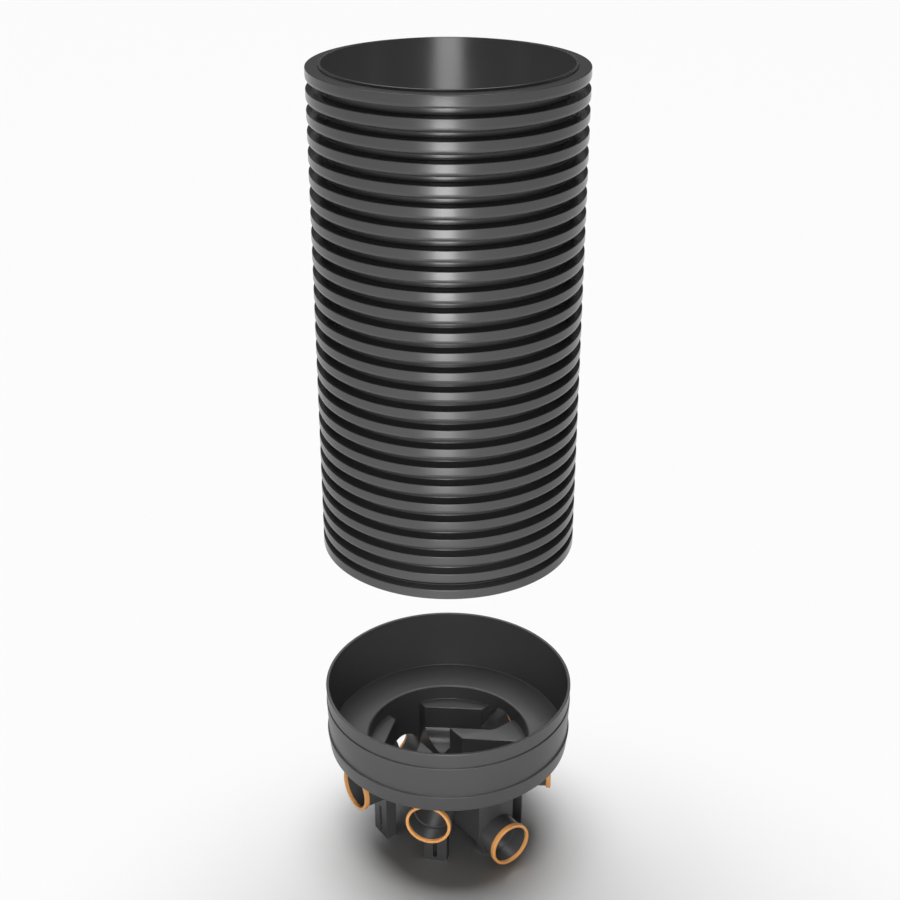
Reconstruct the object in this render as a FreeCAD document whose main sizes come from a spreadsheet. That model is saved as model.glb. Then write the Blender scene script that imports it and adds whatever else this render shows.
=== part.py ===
import FreeCAD, Part
import os
import Sketcher

# Drain inspection chamber: a base with five inlets and one outlet, and a corrugated twin-wall
# shaft that is lowered into the cup of the base. The base is welded up from a cup, a bench
# plate, half-round channels, U-section feet and a socket for each pipe.
# All lengths are in millimetres and all angles in degrees. The origin is on the ground below
# the chamber's axis, +Z up, and azimuth 0 is +X. The shaft hangs above the base, ready to go in.

SIZES = [
    ("shaft_lift", 668, "height of the shaft above its seat"),
    ("shaft_bore_radius", 302, "inside of the shaft"),
    ("liner_wall", 3, "smooth inner wall of the shaft"),
    ("valley_wall", 4, "corrugated wall where it is welded to the liner"),
    ("crest_depth", 31, "valley floor to the outside of a crest"),
    ("crest_pitch", 50, "crest to crest"),
    ("crest_length", 34, "length of a crest at the valley floor"),
    ("crest_slant", 1, "how much each side of a crest leans in"),
    ("crest_round", 5, "chamfer of a crest's outer edges"),
    ("crest_wall", 2, "wall of the corrugation"),
    ("crest_count", 25, "number of whole crests"),
    ("end_crest", 27, "length of the cut crest at the shaft's lower end"),
    ("lip_wall", 6, "wall of the lip on top of the shaft"),
    ("lip_height", 3, "height of that lip"),
    ("shaft_clearance", 1.6, "crest to the cup's wall at the seat"),
    ("cup_taper", 1.9, "how much wider the cup is at its rim than at the seat"),
    ("rim_wall", 8.5, "wall of the cup at its rim"),
    ("cup_depth", 187, "rim down to the shaft's seat"),
    ("top_band", 46, "height of the rim band"),
    ("middle_band", 96, "height of the band below it"),
    ("band_taper", 0.05, "how far a band narrows per unit of its height"),
    ("groove_height", 4, "height of the groove between two bands"),
    ("groove_depth", 5, "depth of that groove"),
    ("rim_chamfer", 1.5, "chamfers of the cup's rim"),
    ("seat_chamfer", 4, "chamfers at the cup's lower edge and at the bowl's edge"),
    ("wall_foot_chamfer", 1.2, "chamfer between the cup's wall and the seat"),
    ("seat_width", 44, "flat ring that the shaft stands on"),
    ("cup_floor_wall", 10, "thickness of the cup's floor"),
    ("bowl_edge_drop", 6, "seat down to the bowl's edge"),
    ("bowl_radius", 234, "inside of the bowl below the cup"),
    ("seat_rise", 53, "benches up to the shaft's seat"),
    ("bowl_joint", 10, "benches up to the weld between the cup and the bowl"),
    ("bench_height", 240, "ground to the top of the benches"),
    ("moulding_wall", 7, "wall of the bowl, the benches and the channels"),
    ("main_azimuth", -54, "way that the main inlet faces"),
    ("main_level", 81, "ground to the axis of the main channel"),
    ("branch_drop", 42, "benches down to the axis of the four branch inlets"),
    ("near_angle", 49, "main inlet to a near inlet, seen from above"),
    ("near_offset", 12, "near inlet's axis past the centre, towards the main inlet"),
    ("side_angle", 93, "main inlet to a side inlet, seen from above"),
    ("side_offset", 25, "side inlet's axis past the centre, towards the outlet"),
    ("outfall_angle", 50, "main inlet to the line of a side channel's lower run"),
    ("outfall_offset", 135.6, "centre to the line of that lower run"),
    ("outfall_drop", 76, "benches down to the axis of a side channel's lower run"),
    ("socket_radius", 55.5, "inside of a socket, for a pipe of 110 outside"),
    ("socket_depth", 52, "mouth to the stop inside a socket"),
    ("stop_length", 9.5, "length of the stop at the inner end of a socket"),
    ("main_stop", 1.5, "height of that stop in a main socket"),
    ("branch_stop", 5.5, "height of that stop in a branch socket"),
    ("socket_wall", 4, "wall of a socket's barrel"),
    ("collar_step", 2.5, "height of the collar at a socket's mouth"),
    ("collar_length", 8, "length of that collar"),
    ("seal_pocket_step", 4.5, "depth of the seal's pocket into the socket's wall"),
    ("seal_pocket_depth", 7, "length of that pocket"),
    ("foot_setback", 12, "bowl's wall to the face of a foot"),
    ("foot_width", 69, "width of a foot"),
    ("foot_depth", 33, "depth of a foot's side walls"),
    ("foot_wall", 6, "wall of a foot"),
    ("foot_slot_width", 12, "slot in the face of a branch foot"),
    ("foot_slot_bottom", 10, "ground to the lower end of that slot"),
    ("foot_slot_height", 90, "height of that slot"),
    ("cap_wall", 3.3, "wall of a snap cap around the collar"),
    ("cap_front", 3.5, "thickness of a snap cap's front"),
    ("cap_bore_step", 0.1, "how much wider the cap's opening is than the socket"),
    ("cap_hook", 2, "thickness of the hook behind the collar"),
    ("cap_hook_reach", 1.9, "how far that hook reaches behind the collar"),
    ("cap_chamfer", 1.5, "chamfers of a snap cap"),
    ("seal_bore_step", 0.3, "how much wider a pressed ring seal is than the socket"),
    ("fit_clearance", 0.2, "gap between a cap or seal and its seat"),
    ("shaft_seal_setback", 17, "crest down to the body of the shaft seal"),
    ("shaft_seal_gap", 0.3, "shaft seal's fin to the cup's wall"),
    ("shaft_seal_fin", 4, "thickness of the shaft seal's fin"),
]

document = FreeCAD.newDocument("drain_inspection_chamber")


def fill_sheet():
    sheet = document.addObject("Spreadsheet::Sheet", "dim")
    for row, (alias, value, meaning) in enumerate(SIZES, start=1):
        sheet.set(f"A{row}", meaning)
        sheet.set(f"B{row}", str(value))
        sheet.setAlias(f"B{row}", alias)
    document.recompute()
    return sheet


dim = fill_sheet()

# Radii that follow from the shaft's bore, outwards
LINER = "(dim.shaft_bore_radius + dim.liner_wall)"
VALLEY = f"({LINER} + dim.valley_wall)"
CREST = f"({VALLEY} + dim.crest_depth)"
CUP_FLOOR = f"({CREST} + dim.shaft_clearance)"
CUP_MOUTH = f"({CUP_FLOOR} + dim.cup_taper)"
RIM = f"({CUP_MOUTH} + dim.rim_wall)"

# Heights that follow from the benches
PLATE_BOTTOM = "(dim.bench_height - dim.moulding_wall)"
BRANCH_LEVEL = "(dim.bench_height - dim.branch_drop)"
OUTFALL_LEVEL = "(dim.bench_height - dim.outfall_drop)"
JOINT = "(dim.bench_height + dim.bowl_joint)"
SEAT = "(dim.bench_height + dim.seat_rise)"
RIM_HEIGHT = f"({SEAT} + dim.cup_depth)"
SHAFT_FOOT = f"({SEAT} + dim.shaft_lift)"

# Sizes of the bowl, the waterways and the sockets
NECK = "(dim.bowl_radius + dim.moulding_wall)"
MAIN_WAY = "(dim.socket_radius - dim.main_stop)"
BRANCH_WAY = "(dim.socket_radius - dim.branch_stop)"
MOUTH = f"({NECK} + dim.stop_length + dim.socket_depth)"
BARREL = "(dim.socket_radius + dim.socket_wall)"
COLLAR = f"({BARREL} + dim.collar_step)"
SEAL_POCKET = "(dim.socket_radius + dim.seal_pocket_step)"
CAP_BORE = "(dim.socket_radius + dim.cap_bore_step)"
CAP_SKIRT = f"({COLLAR} + dim.fit_clearance)"
CAP_OUTSIDE = f"({CAP_SKIRT} + dim.cap_wall)"
FOOT_FACE = "(dim.bowl_radius - dim.foot_setback)"


# Helpers for sketched bodies

def new_body(name):
    body = document.addObject("PartDesign::Body", name)
    body.Label = name
    return body


def origin_plane(body, role):
    return next(plane for plane in body.Origin.OriginFeatures if plane.Role == role)


def revolved(body, name, points, kind="PartDesign::Revolution"):
    """Turn a closed outline of (radius, height) expressions about the body's Z axis."""
    sketch = body.newObject("Sketcher::SketchObject", name + "_outline")
    sketch.AttachmentSupport = [(origin_plane(body, "XZ_Plane"), "")]
    sketch.MapMode = "FlatFace"
    corners = []
    for radius, height in points:
        corners.append(FreeCAD.Vector(value_of(radius), value_of(height), 0))
    for index, start in enumerate(corners):
        end = corners[(index + 1) % len(corners)]
        sketch.addGeometry(Part.LineSegment(start, end))
    for index, (radius, height) in enumerate(points):
        following = (index + 1) % len(points)
        sketch.addConstraint(Sketcher.Constraint("Coincident", index, 2, following, 1))
        bind_distance(sketch, "DistanceX", index, corners[index].x, radius)
        bind_distance(sketch, "DistanceY", index, corners[index].y, height)
    feature = body.newObject(kind, name)
    feature.Profile = sketch
    feature.ReferenceAxis = (sketch, ["V_Axis"])
    feature.Angle = 360
    document.recompute()
    return feature


def bind_distance(sketch, kind, line, value, expression):
    """Tie the start point of a line to the origin along one axis."""
    constraint = sketch.addConstraint(Sketcher.Constraint(kind, -1, 1, line, 1, value))
    sketch.setExpression(f"Constraints[{constraint}]", expression)


def value_of(expression):
    result = dim.evalExpression(expression)
    return float(result)


def stacked(body, name, feature, pitch, count):
    """Repeat a feature upwards along the body's Z axis."""
    pattern = body.newObject("PartDesign::LinearPattern", name)
    pattern.Originals = [feature]
    pattern.Direction = (origin_axis(body, "Z_Axis"), [""])
    pattern.setExpression("Occurrences", count)
    pattern.setExpression("Length", f"({count} - 1) * {pitch}")
    body.Tip = pattern
    document.recompute()
    return pattern


def origin_axis(body, role):
    return next(axis for axis in body.Origin.OriginFeatures if axis.Role == role)


# Helpers for primitives that lie or stand along an azimuth

def place(azimuth, along, across, height, pitch):
    """Placement at a distance along an azimuth and a distance across it, to the left."""
    return place_turned(azimuth, azimuth, along, across, height, pitch)


def place_turned(azimuth, yaw, along, across, height, pitch):
    """The same place, with the piece turned to a yaw of its own."""
    x = f"({along}) * cos({azimuth}) - ({across}) * sin({azimuth})"
    y = f"({along}) * sin({azimuth}) + ({across}) * cos({azimuth})"
    turn = f"create(<<rotation>>; {yaw}; {pitch}; 0)"
    return f"create(<<placement>>; create(<<vector>>; {x}; {y}; {height}); {turn})"


def lying_cylinder(name, radius, line, start, end):
    """Cylinder along a waterway's line from one distance to another."""
    cylinder = document.addObject("Part::Cylinder", name)
    cylinder.setExpression("Radius", radius)
    cylinder.setExpression("Height", f"({end}) - ({start})")
    azimuth, across, level = line
    cylinder.setExpression("Placement", place(azimuth, start, across, level, 90))
    return cylinder


def upright_cylinder(name, radius, bottom, top):
    cylinder = document.addObject("Part::Cylinder", name)
    cylinder.setExpression("Radius", radius)
    cylinder.setExpression("Height", f"({top}) - ({bottom})")
    cylinder.setExpression("Placement.Base.z", bottom)
    return cylinder


def trench(name, half_width, line, start, end, top):
    """Box that stands on a waterway's axis level, along its line, up to a height."""
    box = document.addObject("Part::Box", name)
    azimuth, across, level = line
    box.setExpression("Length", f"({end}) - ({start})")
    box.setExpression("Width", f"2 * ({half_width})")
    box.setExpression("Height", f"({top}) - ({level})")
    left = f"({across}) - ({half_width})"
    box.setExpression("Placement", place(azimuth, start, left, level, 0))
    return box


def block(name, line, start, end, left, right, bottom, top):
    """Box along a waterway's line, between two distances across it and two heights."""
    box = document.addObject("Part::Box", name)
    azimuth, across, _ = line
    box.setExpression("Length", f"({end}) - ({start})")
    box.setExpression("Width", f"({right}) - ({left})")
    box.setExpression("Height", f"({top}) - ({bottom})")
    side = f"({across}) + ({left})"
    box.setExpression("Placement", place(azimuth, start, side, bottom, 0))
    return box


def sloping_trench(name, half_width, line, start, end, end_level, top):
    """Upright-walled trench whose floor line climbs from the line's level to another level."""
    wedge = document.addObject("Part::Wedge", name)
    azimuth, across, level = line
    sizes = {
        "Xmin": f"-({half_width})", "Xmax": half_width,
        "X2min": f"-({half_width})", "X2max": half_width,
        "Ymin": "0", "Ymax": f"({end}) - ({start})",
        "Zmin": level, "Zmax": top,
        "Z2min": end_level, "Z2max": top,
    }
    for size, expression in sizes.items():
        wedge.setExpression(size, expression)
    turned = f"{azimuth} - 90"
    wedge.setExpression("Placement", place_turned(azimuth, turned, start, across, "0", 0))
    return wedge


def sloping_cylinder(name, radius, line, start, end, end_level):
    """Cylinder that climbs from the line's level at its start to another level at its end."""
    cylinder = document.addObject("Part::Cylinder", name)
    azimuth, across, level = line
    run = f"(({end}) - ({start}))"
    rise = f"({end_level} - {level})"
    cylinder.setExpression("Radius", radius)
    cylinder.setExpression("Height", f"sqrt({run} ^ 2 + {rise} ^ 2)")
    pitch = f"90 - atan({rise} / {run}) / (1 deg)"
    cylinder.setExpression("Placement", place(azimuth, start, across, level, pitch))
    return cylinder


def bend(name, radius, line, along):
    """Ball that rounds the corner where two runs of a channel meet."""
    ball = document.addObject("Part::Sphere", name)
    azimuth, across, level = line
    ball.setExpression("Radius", radius)
    ball.setExpression("Placement", place(azimuth, along, across, level, 0))
    return ball


def bend_column(name, radius, line, along, top):
    """Upright walls above that corner, up to a height."""
    column = document.addObject("Part::Cylinder", name)
    azimuth, across, level = line
    column.setExpression("Radius", radius)
    column.setExpression("Height", f"({top}) - ({level})")
    column.setExpression("Placement", place(azimuth, along, across, level, 0))
    return column


def fused(name, shapes):
    if len(shapes) == 1:
        return shapes[0]
    joined = document.addObject("Part::MultiFuse", name)
    joined.Shapes = shapes
    return joined


def cut(name, solids, hollows):
    """One labelled piece: the solids joined, less the hollows."""
    piece = document.addObject("Part::Cut", name)
    piece.Label = name
    piece.Base = fused(name + "_solids", solids)
    piece.Tool = fused(name + "_hollows", hollows)
    document.recompute()
    return piece


def overlap(name, shapes):
    common = document.addObject("Part::MultiCommon", name)
    common.Shapes = shapes
    return common


# The waterways: azimuth, distance across it and level of each one's axis

SOCKETS = {
    "main_inlet": ("dim.main_azimuth", "0", "dim.main_level"),
    "outlet": ("dim.main_azimuth + 180", "0", "dim.main_level"),
    "near_left_inlet": ("dim.main_azimuth - dim.near_angle", "dim.near_offset", BRANCH_LEVEL),
    "near_right_inlet": ("dim.main_azimuth + dim.near_angle", "-dim.near_offset", BRANCH_LEVEL),
    "side_left_inlet": ("dim.main_azimuth - dim.side_angle", "-dim.side_offset", BRANCH_LEVEL),
    "side_right_inlet": ("dim.main_azimuth + dim.side_angle", "dim.side_offset", BRANCH_LEVEL),
}
MAIN_SOCKETS = ("main_inlet", "outlet")

NEAR_CHANNELS = {
    "near_left_channel": "near_left_inlet",
    "near_right_channel": "near_right_inlet",
}
SIDE_CHANNELS = {
    "side_left_channel": ("dim.main_azimuth - dim.side_angle", "-dim.side_offset", OUTFALL_LEVEL),
    "side_right_channel": ("dim.main_azimuth + dim.side_angle", "dim.side_offset", OUTFALL_LEVEL),
}
OUTFALLS = {
    "side_left_channel": ("dim.main_azimuth - dim.outfall_angle", "-dim.outfall_offset", OUTFALL_LEVEL),
    "side_right_channel": ("dim.main_azimuth + dim.outfall_angle", "dim.outfall_offset", OUTFALL_LEVEL),
}
# Where a side channel's two runs cross, measured along each of them
TURN = "(dim.side_angle - dim.outfall_angle)"
RUN_AT_BEND = f"(dim.outfall_offset * cos{TURN} - dim.side_offset) / sin{TURN}"
SIDE_AT_BEND = f"({RUN_AT_BEND}) * cos{TURN} + dim.outfall_offset * sin{TURN}"
# The lower run ends inside the main channel, past its near wall
OUTFALL_END = (
    f"({MAIN_WAY} - (dim.outfall_offset + {BRANCH_WAY}) * cos(dim.outfall_angle))"
    " / sin(dim.outfall_angle) - dim.moulding_wall"
)


def channel(name, kind, extra, reach, top):
    """One channel as a solid up to a height, wider than the water's way by extra."""
    if kind == "main_channel":
        half = f"({MAIN_WAY} + {extra})"
        line = SOCKETS["main_inlet"]
        return fused(name, straight_run(name, half, line, f"-{reach}", reach, top))
    half = f"({BRANCH_WAY} + {extra})"
    if kind in NEAR_CHANNELS:
        line = SOCKETS[NEAR_CHANNELS[kind]]
        return fused(name, straight_run(name, half, line, "0", reach, top))
    upper = SIDE_CHANNELS[kind]
    lower = OUTFALLS[kind]
    climb = (upper, SIDE_AT_BEND, reach, BRANCH_LEVEL)
    pieces = straight_run(name + "_lower", half, lower, OUTFALL_END, RUN_AT_BEND, top)
    pieces += [
        sloping_trench(name + "_upper_walls", half, *climb, top),
        sloping_cylinder(name + "_upper_invert", half, *climb),
        bend(name + "_bend", half, upper, SIDE_AT_BEND),
        bend_column(name + "_bend_walls", half, upper, SIDE_AT_BEND, top),
    ]
    return fused(name, pieces)


def straight_run(name, half, line, start, end, top):
    """Half-round invert with upright walls above it."""
    return [
        trench(name + "_walls", half, line, start, end, top),
        lying_cylinder(name + "_invert", half, line, start, end),
    ]


# The cup that takes the shaft

def shaft_cup():
    """Cup wall with three bands outside, the shaft's seat, and the neck down to the bowl."""
    body = new_body("shaft_cup")
    first_step = f"{RIM_HEIGHT} - dim.top_band"
    second_step = f"{first_step} - dim.middle_band"
    cup_bottom = f"{SEAT} - dim.cup_floor_wall"
    lower_band = f"({second_step} - ({cup_bottom}))"
    half_groove = "dim.groove_height / 2"
    groove = f"{RIM} - dim.groove_depth"
    seat_edge = f"{CUP_FLOOR} - dim.seat_width"
    low_edge = f"{RIM} - dim.band_taper * {lower_band}"
    bowl_edge = f"{SEAT} - dim.bowl_edge_drop"
    points = [
        ("dim.bowl_radius", JOINT),
        (NECK, JOINT),
        (NECK, f"{bowl_edge} - dim.cup_floor_wall"),
        (seat_edge, cup_bottom),
        (f"{low_edge} - dim.seat_chamfer", cup_bottom),
        (low_edge, f"{cup_bottom} + dim.seat_chamfer"),
        (RIM, f"{second_step} - {half_groove}"),
        (groove, f"{second_step} - {half_groove}"),
        (groove, f"{second_step} + {half_groove}"),
        (f"{RIM} - dim.band_taper * dim.middle_band", f"{second_step} + {half_groove}"),
        (RIM, f"{first_step} - {half_groove}"),
        (groove, f"{first_step} - {half_groove}"),
        (groove, f"{first_step} + {half_groove}"),
        (f"{RIM} - dim.band_taper * dim.top_band", f"{first_step} + {half_groove}"),
        (RIM, f"{RIM_HEIGHT} - dim.rim_chamfer"),
        (f"{RIM} - dim.rim_chamfer", RIM_HEIGHT),
        (f"{CUP_MOUTH} + dim.rim_chamfer", RIM_HEIGHT),
        (CUP_MOUTH, f"{RIM_HEIGHT} - dim.rim_chamfer"),
        (CUP_FLOOR, f"{SEAT} + dim.wall_foot_chamfer"),
        (f"{CUP_FLOOR} - dim.wall_foot_chamfer", SEAT),
        (seat_edge, SEAT),
        ("dim.bowl_radius + dim.seat_chamfer", bowl_edge),
        ("dim.bowl_radius", f"{bowl_edge} - dim.seat_chamfer"),
    ]
    revolved(body, "shaft_cup_turned", points)
    return body


# The bench plate, the channels below it and the feet

CHANNELS = ("main_channel", *NEAR_CHANNELS, *SIDE_CHANNELS)


def waterway(name, line):
    """Round way from a socket's pipe stop into the bowl, as wide as the channel it feeds."""
    radius = MAIN_WAY if name in MAIN_SOCKETS else BRANCH_WAY
    return lying_cylinder(name + "_waterway", radius, line, "dim.bowl_radius - dim.foot_depth", MOUTH)


def bench_plate(hollows):
    """Flat benches with the bowl's lower wall around them, open over every channel."""
    turned = new_body("bench_plate_turned")
    points = [
        ("0", PLATE_BOTTOM),
        (NECK, PLATE_BOTTOM),
        (NECK, JOINT),
        ("dim.bowl_radius", JOINT),
        ("dim.bowl_radius", "dim.bench_height"),
        ("0", "dim.bench_height"),
    ]
    revolved(turned, "bench_plate_outline", points)
    return cut("bench_plate", [turned], hollows)


def trough(name, block_out, taken, hollows):
    """One channel's wall: its outer solid inside the bowl, less the ways and what is taken."""
    inside = overlap(name + "_in_bowl", [block_out["bowl"], block_out[name]])
    return cut(name, [inside], hollows + taken)


def main_channel(trough_wall):
    """The main channel's half-round bottom, its side walls, and the walls around its two ends."""
    line = SOCKETS["main_inlet"]
    edge = MAIN_WAY
    beyond = f"({MAIN_WAY} + 2 * dim.moulding_wall)"
    low = "dim.main_level"
    far = f"({NECK} + dim.moulding_wall)"
    middle = "(dim.bowl_radius / 2)"
    above = "dim.bench_height"
    regions = {
        "main_invert": (f"-{far}", far, f"-{beyond}", beyond, "0", low),
        "main_left_wall": (f"-{far}", far, f"-{beyond}", f"-{edge}", low, above),
        "main_right_wall": (f"-{far}", far, edge, beyond, low, above),
        "inlet_end_wall": (middle, far, f"-{edge}", edge, low, above),
        "outlet_end_wall": (f"-{far}", f"-{middle}", f"-{edge}", edge, low, above),
    }
    pieces = []
    for name, limits in regions.items():
        pieces.append(overlap(name, [trough_wall, block(name + "_region", line, *limits)]))
    return pieces


def foot(name, line, channel_blocks):
    """U-shaped foot below a socket, up to the channel or channels that it carries."""
    level = line[2]
    half = "dim.foot_width / 2"
    inner = f"{FOOT_FACE} - dim.foot_depth"
    body = block(name + "_block", line, inner, FOOT_FACE, f"-{half}", half, "0", level)
    gap = block(
        name + "_gap", line, f"{inner} - dim.foot_wall", f"{FOOT_FACE} - dim.foot_wall",
        f"dim.foot_wall - {half}", f"{half} - dim.foot_wall", "-dim.foot_wall", f"{level} + dim.foot_wall",
    )
    return cut(name, [body], [gap, *channel_blocks, *foot_slot(name, line)])


def foot_slot(name, line):
    """Upright slot with round ends in the face of a foot."""
    azimuth, across, level = line
    if level == "dim.main_level":
        return []
    start = f"{FOOT_FACE} - 2 * dim.foot_wall"
    end = f"{FOOT_FACE} + dim.foot_wall"
    radius = "dim.foot_slot_width / 2"
    low = f"dim.foot_slot_bottom + {radius}"
    high = f"dim.foot_slot_bottom + dim.foot_slot_height - {radius}"
    return [
        block(name + "_slot", line, start, end, f"-{radius}", radius, low, high),
        lying_cylinder(name + "_slot_bottom", radius, (azimuth, across, low), start, end),
        lying_cylinder(name + "_slot_top", radius, (azimuth, across, high), start, end),
    ]


def bench_and_channels(waterways):
    way_top = "dim.bench_height + dim.moulding_wall"
    ways = [channel(name + "_way", name, "0", NECK, way_top) for name in CHANNELS]
    bowl = upright_cylinder("bowl_inside", "dim.bowl_radius", "0", JOINT)
    hollows = [overlap("channel_ways", [bowl, fused("all_ways", ways)]), *waterways.values()]
    blocks = {
        name: channel(name + "_block", name, "dim.moulding_wall", NECK, PLATE_BOTTOM)
        for name in CHANNELS
    }
    blocks["bowl"] = upright_cylinder("bowl_outside", NECK, "0", PLATE_BOTTOM)
    pieces = [bench_plate(hollows)]
    pieces += main_channel(trough("main_channel", blocks, [], hollows))
    for name in (*NEAR_CHANNELS, *SIDE_CHANNELS):
        pieces.append(trough(name, blocks, [blocks["main_channel"]], hollows))
    channel_blocks = [blocks[name] for name in CHANNELS]
    for name, line in SOCKETS.items():
        pieces.append(foot(name + "_foot", line, channel_blocks))
    return pieces


# The sockets, welded to the bowl's wall

def socket(name, line, way):
    """Barrel with a collar that a cap snaps over, a pipe seat and a pocket for the seal."""
    start = "dim.bowl_radius - dim.foot_depth"
    barrel = lying_cylinder(name + "_barrel", BARREL, line, start, MOUTH)
    collar = lying_cylinder(name + "_collar", COLLAR, line, f"{MOUTH} - dim.collar_length", MOUTH)
    pipe_seat = lying_cylinder(
        name + "_pipe_seat", "dim.socket_radius", line, f"{MOUTH} - dim.socket_depth", MOUTH
    )
    seal_pocket = lying_cylinder(
        name + "_seal_pocket", SEAL_POCKET, line, f"{MOUTH} - dim.seal_pocket_depth", MOUTH
    )
    saddle = upright_cylinder(name + "_saddle", NECK, "0", RIM_HEIGHT)
    return cut(name + "_socket", [barrel, collar], [way, pipe_seat, seal_pocket, saddle])


# Snap caps and ring seals, one of each on every socket

def on_socket(body, line):
    """Stand a turned piece on a socket's mouth, its Z axis pointing out of the socket."""
    azimuth, across, level = line
    body.setExpression("Placement", place(azimuth, MOUTH, across, level, 90))


def snap_cap(name, line):
    body = new_body(name)
    hook = f"{COLLAR} - dim.cap_hook_reach"
    hook_face = "-dim.collar_length - dim.fit_clearance"
    points = [
        (CAP_BORE, "0"),
        (CAP_SKIRT, "0"),
        (CAP_SKIRT, hook_face),
        (hook, hook_face),
        (hook, f"{hook_face} - dim.cap_hook"),
        (CAP_OUTSIDE, f"{hook_face} - dim.cap_hook"),
        (CAP_OUTSIDE, "dim.cap_front - dim.cap_chamfer"),
        (f"{CAP_OUTSIDE} - dim.cap_chamfer", "dim.cap_front"),
        (f"{CAP_BORE} + dim.cap_chamfer", "dim.cap_front"),
        (CAP_BORE, "dim.cap_front - dim.cap_chamfer"),
    ]
    revolved(body, name + "_turned", points)
    on_socket(body, line)
    return body


def ring_seal(name, line):
    body = new_body(name)
    inside = "dim.socket_radius + dim.seal_bore_step"
    outside = f"{SEAL_POCKET} - dim.fit_clearance"
    back = "dim.fit_clearance - dim.seal_pocket_depth"
    half_way = "-dim.seal_pocket_depth / 2"
    points = [
        (inside, half_way),
        (f"({inside} + {outside}) / 2", back),
        (outside, back),
        (outside, "-dim.fit_clearance"),
        (f"{inside} + dim.fit_clearance", "-dim.fit_clearance"),
    ]
    revolved(body, name + "_turned", points)
    on_socket(body, line)
    return body


# The corrugated shaft

VALLEY_LENGTH = "(dim.crest_pitch - dim.crest_length)"
END_CREST_TOP = f"({SHAFT_FOOT} + dim.end_crest)"
FIRST_CREST = f"({END_CREST_TOP} + {VALLEY_LENGTH})"
FIRST_CREST_TOP = f"({FIRST_CREST} + dim.crest_length)"
SHAFT_TOP = f"({FIRST_CREST_TOP} + (dim.crest_count - 1) * dim.crest_pitch)"


def crest_outline(bottom, top):
    """Crest with leaning sides and eased edges, rooted in the liner."""
    eased = f"{CREST} - dim.crest_round"
    return [
        (LINER, bottom),
        (VALLEY, bottom),
        (eased, f"{bottom} + dim.crest_slant"),
        (CREST, f"{bottom} + dim.crest_slant + dim.crest_round"),
        (CREST, f"{top} - dim.crest_slant - dim.crest_round"),
        (eased, f"{top} - dim.crest_slant"),
        (VALLEY, top),
        (LINER, top),
    ]


def end_crest_outline():
    """The crest that the lower end is cut through."""
    return [(LINER, SHAFT_FOOT), (CREST, SHAFT_FOOT)] + crest_outline(SHAFT_FOOT, END_CREST_TOP)[4:]


def crest_hollow(bottom, top):
    """Hollow between the liner and the crest's wall."""
    outside = f"{CREST} - dim.crest_wall"
    eased = f"{outside} - dim.crest_round"
    return [
        (LINER, f"{bottom} + dim.crest_wall"),
        (eased, f"{bottom} + dim.crest_wall"),
        (outside, f"{bottom} + dim.crest_wall + dim.crest_round"),
        (outside, f"{top} - dim.crest_wall - dim.crest_round"),
        (eased, f"{top} - dim.crest_wall"),
        (LINER, f"{top} - dim.crest_wall"),
    ]


def end_crest_hollow():
    """The same hollow in the cut crest, open at the lower end."""
    outside = f"{CREST} - dim.crest_wall"
    closed_end = crest_hollow(SHAFT_FOOT, END_CREST_TOP)[3:]
    return [(LINER, SHAFT_FOOT), (outside, SHAFT_FOOT)] + closed_end


def riser_shaft():
    body = new_body("riser_shaft")
    lip = "dim.shaft_bore_radius + dim.lip_wall"
    lip_foot = f"{SHAFT_TOP} - dim.crest_wall"
    tube = [
        ("dim.shaft_bore_radius", SHAFT_FOOT),
        (LINER, SHAFT_FOOT),
        (LINER, END_CREST_TOP),
        (VALLEY, END_CREST_TOP),
        (VALLEY, lip_foot),
        (lip, lip_foot),
        (lip, f"{SHAFT_TOP} + dim.lip_height"),
        ("dim.shaft_bore_radius", f"{SHAFT_TOP} + dim.lip_height"),
    ]
    revolved(body, "shaft_tube", tube)
    revolved(body, "end_crest_ring", end_crest_outline())
    crest = revolved(body, "crest_ring", crest_outline(FIRST_CREST, FIRST_CREST_TOP))
    stacked(body, "crest_rings", crest, "dim.crest_pitch", "dim.crest_count")
    revolved(body, "end_crest_hollow", end_crest_hollow(), "PartDesign::Groove")
    hollow = revolved(
        body, "crest_hollow", crest_hollow(FIRST_CREST, FIRST_CREST_TOP), "PartDesign::Groove"
    )
    stacked(body, "crest_hollows", hollow, "dim.crest_pitch", "dim.crest_count")
    return body


def shaft_seal():
    """Rubber ring in the lowest valley, with a fin that wipes the cup's wall."""
    body = new_body("shaft_seal")
    inside = f"{VALLEY} + dim.fit_clearance"
    outside = f"{CREST} - dim.shaft_seal_setback"
    fin_tip = f"{CUP_FLOOR} - dim.shaft_seal_gap"
    bottom = f"{END_CREST_TOP} + dim.fit_clearance"
    top = f"{FIRST_CREST} - dim.fit_clearance"
    middle = f"{END_CREST_TOP} + {VALLEY_LENGTH} / 2"
    points = [
        (inside, bottom),
        (outside, bottom),
        (outside, f"{middle} - dim.shaft_seal_fin / 2"),
        (fin_tip, middle),
        (fin_tip, f"{middle} + dim.shaft_seal_fin / 2"),
        (outside, f"{middle} + dim.shaft_seal_fin / 2"),
        (outside, top),
        (inside, top),
    ]
    revolved(body, "shaft_seal_turned", points)
    return body


# Build, check and export

def build():
    waterways = {name: waterway(name, line) for name, line in SOCKETS.items()}
    parts = bench_and_channels(waterways) + [shaft_cup(), riser_shaft(), shaft_seal()]
    for name, line in SOCKETS.items():
        parts.append(socket(name, line, waterways[name]))
        parts.append(snap_cap(name + "_cap", line))
        parts.append(ring_seal(name + "_seal", line))
    document.recompute()
    return parts


def check(parts):
    for item in document.Objects:
        if "Invalid" in item.State or "Error" in item.State:
            raise RuntimeError(f"{item.Label} did not recompute: {item.State}")
    for part in parts:
        shape = part.Shape
        if shape.isNull() or not shape.isValid() or len(shape.Solids) != 1:
            raise RuntimeError(f"{part.Label} is not one valid solid")


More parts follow.
